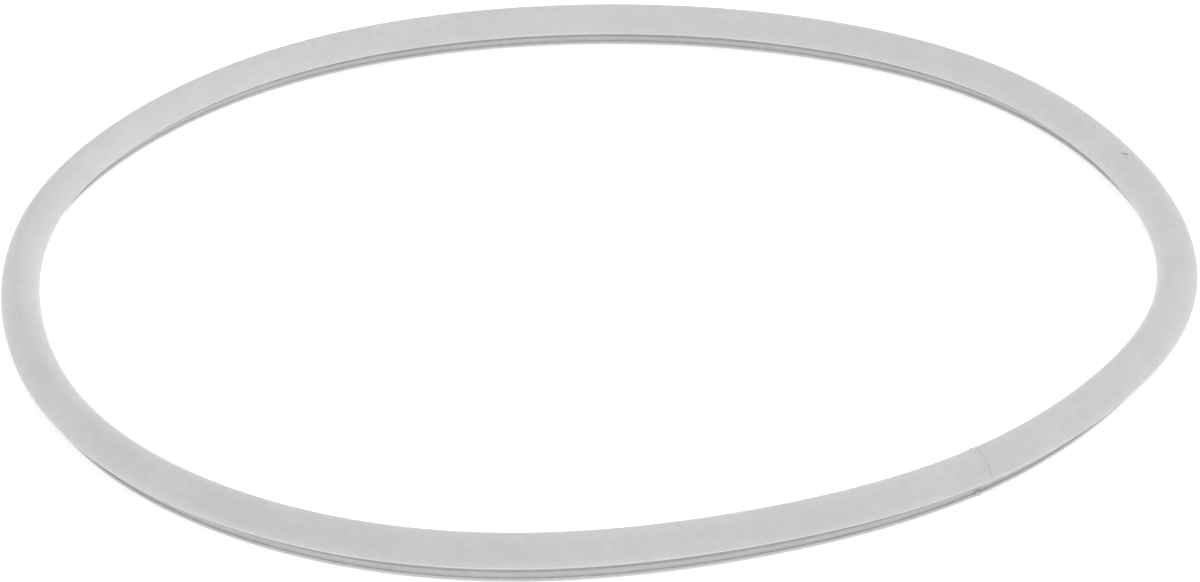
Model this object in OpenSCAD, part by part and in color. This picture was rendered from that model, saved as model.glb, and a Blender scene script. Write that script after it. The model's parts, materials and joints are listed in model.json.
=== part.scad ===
// Sealing ring of a stovetop pressure cooker.
// A silicone strip with a mushroom section is bent into a hoop, and its two ends are bonded
// together in one butt splice. The ring stands on its foot, with the cap's crest on top.
// Sizes are in millimetres. The origin is the hoop's centre, on the plane that the foot rests on.

/* [Ring] */
// Diameter inside the inner rim, which is the size that the ring is sold by
inner_d = 280; // [160:10:340]
// Width of the band, from the inner rim to the outer rim
band_w = 10; // [9:0.5:12]
// Height of the ring, from the sole of the foot to the crest of the cap
ring_h = 11.2; // [10:0.2:13]

/* [Cap] */
// Height of the middle of the two rims above the sole
rim_z = 4.9; // [4.6:0.1:5.6]
// Height of the upright land that runs round each rim
land_h = 0.8; // [0.4:0.1:1]
// Fullness of the cap, from 1 for a sharp gable to 2 for a round dome
fullness = 1.8; // [1.5:0.1:2.4]
// Thickness of the skirt's lower edge, beside the undercut
skirt_t = 1.1; // [0.8:0.1:1.6]
// Height of the undercut's roof above the sole
undercut_z = 7; // [6.4:0.1:7.4]

/* [Stem] */
// Thickness of the neck between the two undercuts
neck_w = 1.8; // [1.4:0.1:2.2]
// Thickness of the plinth that joins the neck to the foot
plinth_w = 2.6; // [2.4:0.1:2.8]
// Height of the plinth's shoulder above the sole
plinth_z = 2.1; // [1.8:0.1:2.4]

/* [Foot] */
// Width of the foot, across its two lips
foot_w = 3.4; // [3.2:0.1:4]
// Thickness of the foot's lips
foot_h = 0.9; // [0.8:0.1:1.2]
// Rounding of the lips' edges
lip_r = 0.3; // [0.1:0.05:0.35]

/* [Splice] */
// Direction of the splice, in degrees from +X towards +Y
splice_angle = 309; // [0:1:359]
// Thickness of the bond between the strip's two ends
bond_t = 0.2; // [0.1:0.1:1]
// Radius of the bead of bonding rubber that has squeezed out beside the foot
bead_r = 0.8; // [0.6:0.1:1]

/* [Hidden] */
$fn = 180;

// Radius of the section's centreline
mid_r = (inner_d + band_w) / 2;
// Angle that the bond takes up, measured on the centreline
bond_angle = bond_t / mid_r * 180 / PI;
// Heights of the land's two edges
land_low = rim_z - land_h / 2;
land_high = rim_z + land_h / 2;
// Steps along a quarter of the cap, and along a rounded edge or the undercut's roof
CAP_STEPS = 20;
EDGE_STEPS = 6;
ROOF_STEPS = 12;

// Points on an elliptical arc about c, with half-axes a and b, from angle start to angle end
function arc(c, a, b, start, end, steps) =
    [for (i = [0 : steps]) let (t = start + (end - start) * i / steps)
        [c.x + a * cos(t), c.y + b * sin(t)]];

// Points over the cap, from the outer land to just short of the crest
function cap_side() =
    [for (i = [0 : CAP_STEPS - 1]) let (t = 90 * i / CAP_STEPS)
        [band_w / 2 * pow(cos(t), 2 / fullness),
         land_high + (ring_h - land_high) * pow(sin(t), 2 / fullness)]];

// Middle and half-width of the undercut, between the neck and the skirt
groove_mid = (neck_w / 2 + band_w / 2 - skirt_t) / 2;
groove_half = (band_w / 2 - skirt_t - neck_w / 2) / 2;

// One side of the section, from the sole up to the cap: x is the distance from the centreline
half_section = concat(
    arc([foot_w / 2 - lip_r, lip_r], lip_r, lip_r, -90, 0, EDGE_STEPS),
    arc([foot_w / 2 - lip_r, foot_h - lip_r], lip_r, lip_r, 0, 90, EDGE_STEPS),
    [[plinth_w / 2, foot_h]],
    [[plinth_w / 2, plinth_z]],
    [[neck_w / 2, plinth_z + (plinth_w - neck_w) / 2]],
    arc([groove_mid, land_low + groove_half], groove_half,
        undercut_z - land_low - groove_half, 180, 0, ROOF_STEPS),
    [[band_w / 2 - skirt_t, land_low + lip_r]],
    arc([band_w / 2 - skirt_t + lip_r, land_low + lip_r], lip_r, lip_r, 180, 270, EDGE_STEPS),
    [[band_w / 2, land_low]],
    cap_side()
);

// The same points on the other side of the centreline, in the opposite order
function mirrored(side) =
    [for (i = [len(side) - 1 : -1 : 0]) [-side[i].x, side[i].y]];

// The whole section, placed at its radius for turning about Z
module section() {
    outline = concat(half_section, [[0, ring_h]], mirrored(half_section));
    translate([mid_r, 0]) polygon(outline);
}

// The section swept about Z, from angle start through angle sweep
module hoop(start, sweep) {
    rotate([0, 0, start])
        rotate_extrude(angle = sweep)
            section();
}

// The moulded strip, bent nearly full circle so that its cut ends face each other
module sealing_ring() {
    color([0.83, 0.83, 0.82])
        hoop(splice_angle + bond_angle / 2, 360 - bond_angle);
}

// The film of bonding rubber that joins the ends, and the bead beside the foot
module splice_bond() {
    color([0.88, 0.88, 0.87])
        union() {
            hoop(splice_angle - bond_angle / 2, bond_angle);
            bead();
        }
}

// A ball of bonding rubber, cut off where it lies against the side of the foot
module bead() {
    face_r = mid_r + foot_w / 2;
    rotate([0, 0, splice_angle])
        difference() {
            translate([face_r + bead_r / 4, 0, bead_r])
                sphere(bead_r);
            cylinder(h = 4 * bead_r, r = face_r, center = true);
        }
}

sealing_ring();
splice_bond();
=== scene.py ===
"""Looks of a pressure cooker's sealing ring.

A strip of milky silicone with a mushroom section is bent into a hoop, and its ends are bonded in one
splice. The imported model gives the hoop's radii, its heights and the splice's direction. Round that
frame this script sweeps a finer section, along a path that lies slightly out of round and tips over a
little here and there, as a soft ring does when it is put down by hand. Lengths are in metres, except
in names that end in _MM.
"""

import json
import math

import bmesh
import bpy
import numpy as np
from mathutils import Matrix, Vector, noise


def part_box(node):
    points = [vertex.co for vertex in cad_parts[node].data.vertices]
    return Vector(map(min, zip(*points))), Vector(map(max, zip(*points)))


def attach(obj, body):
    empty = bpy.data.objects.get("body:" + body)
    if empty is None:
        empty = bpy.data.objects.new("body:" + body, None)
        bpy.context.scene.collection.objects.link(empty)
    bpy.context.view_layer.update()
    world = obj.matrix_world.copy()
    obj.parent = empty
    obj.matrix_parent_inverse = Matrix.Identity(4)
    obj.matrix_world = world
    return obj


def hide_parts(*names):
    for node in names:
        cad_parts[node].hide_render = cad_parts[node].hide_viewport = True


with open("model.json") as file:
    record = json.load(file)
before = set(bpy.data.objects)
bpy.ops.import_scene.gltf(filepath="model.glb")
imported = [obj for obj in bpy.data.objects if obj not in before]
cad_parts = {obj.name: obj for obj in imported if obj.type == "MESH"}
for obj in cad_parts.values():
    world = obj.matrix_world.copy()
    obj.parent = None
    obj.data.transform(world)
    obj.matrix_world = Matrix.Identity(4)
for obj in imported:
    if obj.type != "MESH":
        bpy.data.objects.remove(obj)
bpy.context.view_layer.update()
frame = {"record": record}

MM = 0.001
TAU = 2 * math.pi

# What the frame says: the rims' radii and height, the crest's height and the splice's direction
MOUNTS = {mount["name"]: mount for mount in frame["record"]["mounts"]}
OUTER_MM = MOUNTS["outer_rim"]["dims"]["r_mm"]
INNER_MM = MOUNTS["inner_rim"]["dims"]["r_mm"]
LAND_MM = MOUNTS["outer_rim"]["dims"]["length_mm"]
RIM_MM = MOUNTS["outer_rim"]["pos_m"][2] / MM
CREST_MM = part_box("sealing_ring")[1].z / MM
MID_MM = (OUTER_MM + INNER_MM) / 2
HALF_MM = (OUTER_MM - INNER_MM) / 2
SPLICE_AT = sum(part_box("splice_bond"), Vector()) / 2
SPLICE = math.atan2(SPLICE_AT.y, SPLICE_AT.x) % TAU

# The section's stem, from the sole up: distance from the centreline, height, and the radius that
# rounds the corner, in millimetres
STEM_MM = (
    (1.70, 0.00, 0.30),  # edge of the sole
    (1.70, 0.90, 0.30),  # top of the foot's lip
    (1.30, 0.90, 0.15),  # hollow above the lip
    (1.30, 2.10, 0.20),  # shoulder of the plinth
    (0.90, 2.50, 0.30),  # start of the neck
    (0.90, 7.00, 1.30),  # roof of the undercut, beside the neck
    (3.90, 7.00, 1.30),  # roof of the undercut, beside the skirt
    (3.90, RIM_MM - LAND_MM / 4, 0.45),  # inside edge of the skirt, 0.2 mm higher than in CAD
    (HALF_MM, RIM_MM - LAND_MM / 4, 0.45),  # outside edge of the skirt
)
# Half the width of the sole's flat part
SOLE_MM = STEM_MM[0][0] - STEM_MM[0][2]
# Fullness of the cap, from 1 for a sharp gable to 2 for a round dome
CAP_FULLNESS = 1.8
# Steps along a quarter of the cap, along a rounded corner, and round the hoop
CAP_STEPS = 20
CORNER_STEPS = 3
STATIONS = 820

# How the soft hoop lies out of round: the number of waves round it, their height in millimetres,
# and the direction of one bulge in degrees
LIE = (
    (2, 3.5, 51),
    (3, 1.9, 10),
    (4, 0.9, 60),
    (5, 0.25, 42),
    (6, 0.35, 55),
    (7, 0.2, 51),
    (8, 0.25, 37),
)
# How the section tips over on its foot: the mean tilt in degrees, outwards, and the number of waves
# of it round the hoop, their height and the direction of one peak, in degrees
TIP_MEAN = -1.7
TIP = (
    (1, 2.5, 333),
    (2, 1.7, 12),
    (3, 1.7, 99),
)
# The tilt, in radians, over which the hoop's rest on the floor passes from one edge of the sole to
# the other
ROCK = 0.01
# Where the hoop bends most tightly the strip is drawn in: by what part of its width, in which
# direction in degrees, and over about how many degrees to each side
PINCH = 0.19
PINCH_AT = 147
PINCH_REACH = 24

# The splice: half the width of the film that shows, the depths of its surface and its root, and the
# depth of the hairline groove that it fills
FILM_MM = 0.05
FILM_TOP_MM = 0.03
FILM_ROOT_MM = 0.13
GROOVE_MM = 0.10
# The strip beside the film: how round its cut edges are and the slant of the groove's wall below
# them, how far each of the two ends swells proud and over what length, and the steps along both
EDGE_MM = 0.04
SLANT_MM = 0.004
HEAD_SWELL_MM = 0.01
TAIL_SWELL_MM = 0.06
SWELL_RUN_MM = 2.5
ROUND_STEPS = 3
SWELL_STEPS = 6

# Bonding rubber that has squeezed out of the splice: how far back along the strip it lies, where on
# the section, its half-sizes outwards, along and upwards, and how lumpy it is
FOOT_BEAD_MM = (1.0, (1.80, 0.75), (0.7, 1.0, 0.6))
CREST_BEAD_MM = (0.5, (-1.1, CREST_MM - 0.30), (0.7, 0.5, 0.3))
BEAD_LUMPS = 0.25
LUMPS_PER_RADIUS = 1.3

# Dark marks: specks of dirt on the cap, and last a painted shade in the pit between the foot bead and
# the plinth.
# For each: degrees round from the splice, distance from the centreline, height or None for on the
# cap, radius in millimetres, and strength
DIRT_AND_SHADE_MARKS = (
    (69.8, -0.6, None, 0.60, 1.0),
    (70.1, -1.0, None, 0.45, 0.7),
    (70.3, -1.4, None, 0.45, 0.6),
    (69.3, -1.3, None, 0.45, 0.3),
    (77.0, -0.7, None, 0.50, 0.3),
    (79.6, 0.2, None, 0.45, 0.25),
    # painted shade: darkens the pit between the foot bead and the plinth, where the bead shades the
    # wall
    (-0.6, 1.3, 1.6, 0.20, 0.3),
)
# A mark's shade, the part of its radius that has its full strength, and its ragged edge: how finely
# it is broken up, and the least and most that the distance from the mark's middle is stretched
MARK_SHADE = 0.05
MARK_CORE = 0.3
RAGS_PER_M = 1500
RAGS = (0.7, 1.8)

# The two rubbers: a darker and a lighter shade, and the roughness
STRIP_RUBBER = (0.567, 0.592, 0.45)
BOND_RUBBER = (0.60, 0.63, 0.35)
# What both have in common: the refractive index, how strongly the surface reflects, and how far
# light spreads inside
REFRACTION = 1.41
SHEEN = 0.3
SCATTER_MM = 1.0
# Mottling: clouds between the two shades, smaller speckles of a darker one, and satin patches that
# change the roughness. The middle part of the noise's range is spread over the whole change.
NOISE_SPAN = (0.3, 0.7)
CLOUDS_PER_M = 70
SPECKLES_PER_M = 450
SPECKLE_SHADE = 0.94
SPECKLE_STRENGTH = 0.4
SATIN_PER_M = 250
SATIN_CHANGE = 0.05
# Lines from the extrusion die: how often they change along the strip and round its section, and how
# strong and deep they are
LINES_PER_M = (12, 2600, 1)
LINE_STRENGTH = 0.6
LINE_DEPTH_MM = 0.08

# Camera: how far up, how far away and how much rolled it is, where it aims, its focal length and
# sensor in millimetres, and how far it sees
CAMERA_UP = math.radians(27.15)
CAMERA_AWAY = 1.232
CAMERA_ROLL = math.radians(-0.3)
CAMERA_AIM = Vector((2.0, -1.36, -2.66)) * MM
LENS = 147.3
SENSOR = 36
FARTHEST = 50

# Studio: the strength of the sky, the table's size, shade, roughness and glow, and the soft boxes
# with their places, sizes and watts
SKY = 0.74
TABLE = 12
TABLE_SHADE = 0.62
TABLE_ROUGHNESS = 0.9
TABLE_GLOW = 0.63
SOFT_BOXES = (
    ("box_over", (0, 0, 0.5), 0.3, 0.63),
    ("box_right", (1.5, 0.3, 1.0), 0.8, 3),
    ("box_front", (0, -1.5, 1.2), 0.8, 2.4),
    ("box_low", (0, -1.8, 0.4), 0.6, 3.2),
)


def unit(vector):
    """The vector at length 1."""
    return vector / np.linalg.norm(vector)


def corner(here, before, after, radius):
    """Points on the arc that rounds the corner here, between the corners before and after it."""
    before = unit(before - here)
    after = unit(after - here)
    half = math.acos(max(-1, min(1, before @ after))) / 2
    centre = here + unit(before + after) * radius / math.sin(half)
    start = here + before * radius / math.tan(half) - centre
    end = here + after * radius / math.tan(half) - centre
    turn = math.pi - 2 * half
    points = []
    for step in range(CORNER_STEPS + 1):
        part = turn * step / CORNER_STEPS
        spoke = (start * math.sin(turn - part) + end * math.sin(part)) / math.sin(turn)
        points.append(centre + spoke)
    return points


def rounded(corners):
    """The outline through corners (x, z, radius), sharp where the radius is 0."""
    spots = [np.array((x, z)) for x, z, radius in corners]
    points = []
    for i, here in enumerate(spots):
        radius = corners[i][2]
        if radius:
            points += corner(here, spots[i - 1], spots[i + 1], radius)
        else:
            points.append(here)
    return points


def cap_height(across):
    """The cap's height at a distance from the centreline."""
    low = RIM_MM + LAND_MM / 2
    part = 1 - min(1, abs(across) / HALF_MM) ** CAP_FULLNESS
    return low + (CREST_MM - low) * part ** (1 / CAP_FULLNESS)


def cap_side():
    """Points over the cap, from the rim's land to just short of the crest."""
    angles = [TAU / 4 * i / CAP_STEPS for i in range(CAP_STEPS)]
    across = [HALF_MM * math.cos(a) ** (2 / CAP_FULLNESS) for a in angles]
    return [np.array((x, cap_height(x))) for x in across]


def section():
    """The whole outline, anticlockwise from the middle of the sole: x outwards and z up."""
    corners = [(0, 0, 0), *STEM_MM, (HALF_MM, RIM_MM + LAND_MM / 2, 0)]
    side = rounded(corners)[1:-1] + cap_side()
    other = [np.array((-x, z)) for x, z in reversed(side)]
    return np.array([(0, 0), *side, (0, CREST_MM), *other])


def outward(outline):
    """The unit normal at each point of the outline, pointing out of the rubber."""
    along = np.roll(outline, -1, 0) - np.roll(outline, 1, 0)
    normal = np.stack([along[:, 1], -along[:, 0]], 1)
    return normal / np.linalg.norm(normal, axis=1)[:, None]


def path(angle):
    """A point on the hoop's centreline and the direction straight outwards there, in the plane."""
    radius = MID_MM + sum(h * math.cos(k * (angle - math.radians(d))) for k, h, d in LIE)
    slope = sum(-k * h * math.sin(k * (angle - math.radians(d))) for k, h, d in LIE)
    out = np.array((math.cos(angle), math.sin(angle)))
    side = np.array((-out[1], out[0]))
    tangent = unit(slope * out + radius * side)
    return radius * out, np.array((tangent[1], -tangent[0]))


def tilt(angle):
    """How far the section tips outwards at that angle round the hoop, in radians."""
    waves = sum(h * math.cos(k * (angle - math.radians(d))) for k, h, d in TIP)
    return math.radians(TIP_MEAN + waves)


def narrowing(angle):
    """The strip's width at that angle, as a part of its full width."""
    away = (math.degrees(angle) - PINCH_AT + 180) % 360 - 180
    return 1 - PINCH * math.exp(-((away / PINCH_REACH) ** 2) / 2)


def placed(outline, angle):
    """The outline's points in space at that angle, tipped over and resting on the floor."""
    centre, out = path(angle)
    sine, cosine = math.sin(tilt(angle)), math.cos(tilt(angle))
    x, z = outline[:, 0] * narrowing(angle), outline[:, 1]
    flat = centre + np.outer(x * cosine + z * sine, out)
    lift = SOLE_MM * math.hypot(sine, ROCK)
    return np.column_stack([flat, z * cosine - x * sine + lift]) * MM


def cut_end(swell):
    """(distance from the splice, how far the outline stands out) from the groove into the strip."""
    rows = [(FILM_MM, -GROOVE_MM)]
    for i in range(ROUND_STEPS + 1):
        turn = TAU / 4 * i / ROUND_STEPS
        away = FILM_MM + SLANT_MM + EDGE_MM * (1 - math.cos(turn))
        rows.append((away, swell - EDGE_MM * (1 - math.sin(turn))))
    for i in range(1, SWELL_STEPS + 1):
        part = i / SWELL_STEPS
        fade = (1 + math.cos(math.pi * part)) / 2
        rows.append((FILM_MM + EDGE_MM + SWELL_RUN_MM * part, swell * fade))
    return rows


def strip_stations():
    """(angle, how far the outline stands out) all the way round, from the groove back to it."""
    head = [(SPLICE + x / MID_MM, grow) for x, grow in cut_end(HEAD_SWELL_MM)]
    tail = [(SPLICE + TAU - x / MID_MM, grow) for x, grow in reversed(cut_end(TAIL_SWELL_MM))]
    first, last = head[-1][0], tail[0][0]
    between = [(first + (last - first) * i / STATIONS, 0) for i in range(1, STATIONS)]
    return head + between + tail


def link(name, bm):
    """A new object in the scene that holds the bmesh."""
    mesh = bpy.data.meshes.new(name)
    bm.to_mesh(mesh)
    bm.free()
    piece = bpy.data.objects.new(name, mesh)
    bpy.context.scene.collection.objects.link(piece)
    return piece


def milestones(points):
    """How far along the closed line through the points each one lies, and the line's length."""
    steps = np.linalg.norm(np.roll(points, -1, 0) - points, axis=1)
    return np.concatenate([[0], np.cumsum(steps)])


def looped(name, rings):
    """A mesh through rings of points that closes on itself both ways, with a map for its grain."""
    bm = bmesh.new()
    grain = bm.loops.layers.uv.new("grain")
    rows = [[bm.verts.new(p) for p in ring] for ring in rings]
    run = milestones(np.array([ring.mean(0) for ring in rings]))
    girth = milestones(rings[0])
    for i, row in enumerate(rows):
        after = rows[(i + 1) % len(rows)]
        for j in range(len(row)):
            k = (j + 1) % len(row)
            face = bm.faces.new((row[j], after[j], after[k], row[k]))
            face.smooth = True
            places = ((i, j), (i + 1, j), (i + 1, j + 1), (i, j + 1))
            for loop, (a, b) in zip(face.loops, places):
                loop[grain].uv = (run[a], girth[b])
    bmesh.ops.recalc_face_normals(bm, faces=bm.faces)
    return link(name, bm)


def make_strip():
    """The bent strip, fused at its ends but for the hairline groove, with one end a little proud."""
    outline = section()
    normal = outward(outline)
    rings = [placed(outline + normal * grow, angle) for angle, grow in strip_stations()]
    return looped("silicone_strip", rings)


def make_film():
    """The edge of the film of bonding rubber, which fills the groove to just below the surface."""
    outline = section()
    normal = outward(outline)
    sides = (SPLICE - FILM_MM / MID_MM, SPLICE + FILM_MM / MID_MM)
    top = [placed(outline - normal * FILM_TOP_MM, angle) for angle in sides]
    root = [placed(outline - normal * FILM_ROOT_MM, angle) for angle in reversed(sides)]
    return looped("splice_film", top + root)


def make_bead(name, back, spot, sizes):
    """A lumpy bead of bonding rubber that has squeezed out of the splice at a spot of the section."""
    at = SPLICE - back / MID_MM
    out = Vector((*path(at)[1], 0))
    along = Vector((-out.y, out.x, 0))
    middle = Vector(placed(np.array([spot]), at)[0])
    bm = bmesh.new()
    bmesh.ops.create_icosphere(bm, subdivisions=4, radius=1)
    for vert in bm.verts:
        ball = vert.co.copy()
        lump = 1 + BEAD_LUMPS * noise.noise(ball * LUMPS_PER_RADIUS)
        x, y, z = [part * size * lump * MM for part, size in zip(ball, sizes)]
        vert.co = middle + out * x + along * y + Vector((0, 0, z))
        vert.co.z = max(vert.co.z, 0)
    for face in bm.faces:
        face.smooth = True
    return link(name, bm)


def node(tree, kind, **values):
    """A new node with its settings and unlinked inputs filled in."""
    made = tree.nodes.new(kind)
    for key, value in values.items():
        if key in made.inputs.keys():
            made.inputs[key].default_value = value
        else:
            setattr(made, key, value)
    return made


def spread(tree, value, span, low, high):
    """The value, with span mapped softly onto low to high."""
    made = node(tree, "ShaderNodeMapRange", interpolation_type="SMOOTHSTEP")
    made.inputs["From Min"].default_value = span[0]
    made.inputs["From Max"].default_value = span[1]
    made.inputs["To Min"].default_value = low
    made.inputs["To Max"].default_value = high
    tree.links.new(value, made.inputs["Value"])
    return made.outputs["Result"]


def cloudy(tree, place, scale, detail, low, high):
    """A soft noise of that scale and level of detail, spread from low to high."""
    made = node(tree, "ShaderNodeTexNoise", Scale=scale, Detail=detail)
    tree.links.new(place, made.inputs["Vector"])
    return spread(tree, made.outputs["Fac"], NOISE_SPAN, low, high)


def blended(tree, factor, low, high):
    """A colour between low and high, each of which is a colour or a link."""
    made = node(tree, "ShaderNodeMix", data_type="RGBA")
    for side, colour in (("A", low), ("B", high)):
        if isinstance(colour, tuple):
            made.inputs[side].default_value = (*colour, 1)
        else:
            tree.links.new(colour, made.inputs[side])
    tree.links.new(factor, made.inputs["Factor"])
    return made.outputs["Result"]


def combined(tree, operation, one, other):
    """The two values, put together by a math operation."""
    made = node(tree, "ShaderNodeMath", operation=operation)
    tree.links.new(one, made.inputs[0])
    tree.links.new(other, made.inputs[1])
    return made.outputs[0]


def grey(shade):
    """The neutral colour of that shade."""
    return (shade, shade, shade)


def blot(tree, place, ragged, mark):
    """How dark one mark makes the rubber."""
    degrees, across, height, radius, strength = mark
    spot = np.array([(across, cap_height(across) if height is None else height)])
    away = node(tree, "ShaderNodeVectorMath", operation="DISTANCE")
    tree.links.new(place, away.inputs[0])
    away.inputs[1].default_value = placed(spot, SPLICE + math.radians(degrees))[0]
    uneven = combined(tree, "MULTIPLY", away.outputs["Value"], ragged)
    return spread(tree, uneven, (MARK_CORE * radius * MM, radius * MM), strength, 0)


def dirt_and_shade(tree, place):
    """How dark the marks make the rubber: small blots with uneven edges, for the specks of dirt and
    for the painted shade in the pit beside the foot bead.
    """
    ragged = cloudy(tree, place, RAGS_PER_M, 1, *RAGS)
    darkest, *others = [blot(tree, place, ragged, mark) for mark in DIRT_AND_SHADE_MARKS]
    for other in others:
        darkest = combined(tree, "MAXIMUM", darkest, other)
    return darkest


def mottled(tree, place, dark, light):
    """The rubber's colour: clouds from dark to light, fine speckles, the dirt specks, and the painted
    shade beside the foot bead.
    """
    clouds = blended(tree, cloudy(tree, place, CLOUDS_PER_M, 3, 0, 1), grey(dark), grey(light))
    fine = cloudy(tree, place, SPECKLES_PER_M, 3, 0, SPECKLE_STRENGTH)
    speckled = blended(tree, fine, clouds, grey(SPECKLE_SHADE * dark))
    return blended(tree, dirt_and_shade(tree, place), speckled, grey(MARK_SHADE))


def die_lines(tree):
    """A normal with fine lines along the strip, by its map. The beads have no map and stay plain."""
    grain = node(tree, "ShaderNodeUVMap", uv_map="grain")
    stretch = node(tree, "ShaderNodeMapping")
    stretch.inputs["Scale"].default_value = LINES_PER_M
    tree.links.new(grain.outputs["UV"], stretch.inputs["Vector"])
    lines = cloudy(tree, stretch.outputs["Vector"], 1, 2, 0, 1)
    bump = node(tree, "ShaderNodeBump", Strength=LINE_STRENGTH, Distance=LINE_DEPTH_MM * MM)
    tree.links.new(lines, bump.inputs["Height"])
    return bump.outputs["Normal"]


def silicone(name, dark, light, roughness):
    """Milky translucent rubber, mottled between two shades, with a satin surface."""
    material = bpy.data.materials.new(name)
    material.use_nodes = True
    tree = material.node_tree
    shader = tree.nodes["Principled BSDF"]
    shader.inputs["IOR"].default_value = REFRACTION
    shader.inputs["Specular IOR Level"].default_value = SHEEN
    shader.inputs["Subsurface Weight"].default_value = 1.0
    shader.inputs["Subsurface Radius"].default_value = (1.0, 1.0, 1.0)
    shader.inputs["Subsurface Scale"].default_value = SCATTER_MM * MM

    place = tree.nodes.new("ShaderNodeTexCoord").outputs["Object"]
    satin = cloudy(tree, place, SATIN_PER_M, 2, roughness - SATIN_CHANGE, roughness + SATIN_CHANGE)
    tree.links.new(mottled(tree, place, dark, light), shader.inputs["Base Color"])
    tree.links.new(satin, shader.inputs["Roughness"])
    tree.links.new(die_lines(tree), shader.inputs["Normal"])
    return material


def dress(piece, material, slot, *nodes):
    """Gives the piece its material and ties it to the frame."""
    piece.data.materials.append(material)
    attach(piece, "root")
    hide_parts(*nodes)


def make_camera():
    """A long lens, aimed at the middle of the hoop from the front."""
    data = bpy.data.cameras.new("camera")
    data.lens = LENS
    data.sensor_width = SENSOR
    data.clip_end = FARTHEST
    camera = bpy.data.objects.new("camera", data)
    bpy.context.scene.collection.objects.link(camera)
    camera.location = CAMERA_AWAY * Vector((0, -math.cos(CAMERA_UP), math.sin(CAMERA_UP)))
    look = (CAMERA_AIM - camera.location).to_track_quat("-Z", "Y").to_matrix()
    camera.rotation_euler = (look @ Matrix.Rotation(CAMERA_ROLL, 3, "Z")).to_euler()
    bpy.context.scene.camera = camera


def make_light(name, place, size, watts):
    """A square soft box that faces the middle of the hoop."""
    data = bpy.data.lights.new(name, "AREA")
    data.shape = "SQUARE"
    data.size = size
    data.energy = watts
    light = bpy.data.objects.new(name, data)
    bpy.context.scene.collection.objects.link(light)
    light.location = place
    light.rotation_euler = (-Vector(place)).to_track_quat("-Z", "Y").to_euler()


def make_table():
    """A pale matt table that glows faintly, so that it comes out white."""
    bpy.ops.mesh.primitive_plane_add(size=TABLE, location=(0, 0, 0))
    floor = bpy.context.object
    floor.name = "floor"
    paint = bpy.data.materials.new("pale_table")
    paint.use_nodes = True
    shader = paint.node_tree.nodes["Principled BSDF"]
    shader.inputs["Base Color"].default_value = (*grey(TABLE_SHADE), 1)
    shader.inputs["Roughness"].default_value = TABLE_ROUGHNESS
    shader.inputs["Specular IOR Level"].default_value = 0.0
    shader.inputs["Emission Color"].default_value = (1, 1, 1, 1)
    shader.inputs["Emission Strength"].default_value = TABLE_GLOW
    floor.data.materials.append(paint)


def make_studio():
    """The table under a pale even sky, with the soft boxes."""
    bpy.context.scene.view_settings.view_transform = "Standard"
    world = bpy.data.worlds.new("studio")
    world.use_nodes = True
    sky = world.node_tree.nodes["Background"]
    sky.inputs["Color"].default_value = (1, 1, 1, 1)
    sky.inputs["Strength"].default_value = SKY
    bpy.context.scene.world = world
    for box in SOFT_BOXES:
        make_light(*box)
    make_table()


make_camera()
make_studio()
milky = silicone("milky_silicone", *STRIP_RUBBER)
bonding = silicone("bonding_rubber", *BOND_RUBBER)
dress(make_strip(), milky, "silicone", "sealing_ring")
dress(make_film(), bonding, "bonding_rubber", "splice_bond")
dress(make_bead("foot_bead", *FOOT_BEAD_MM), bonding, "bonding_rubber")
dress(make_bead("crest_bead", *CREST_BEAD_MM), bonding, "bonding_rubber")
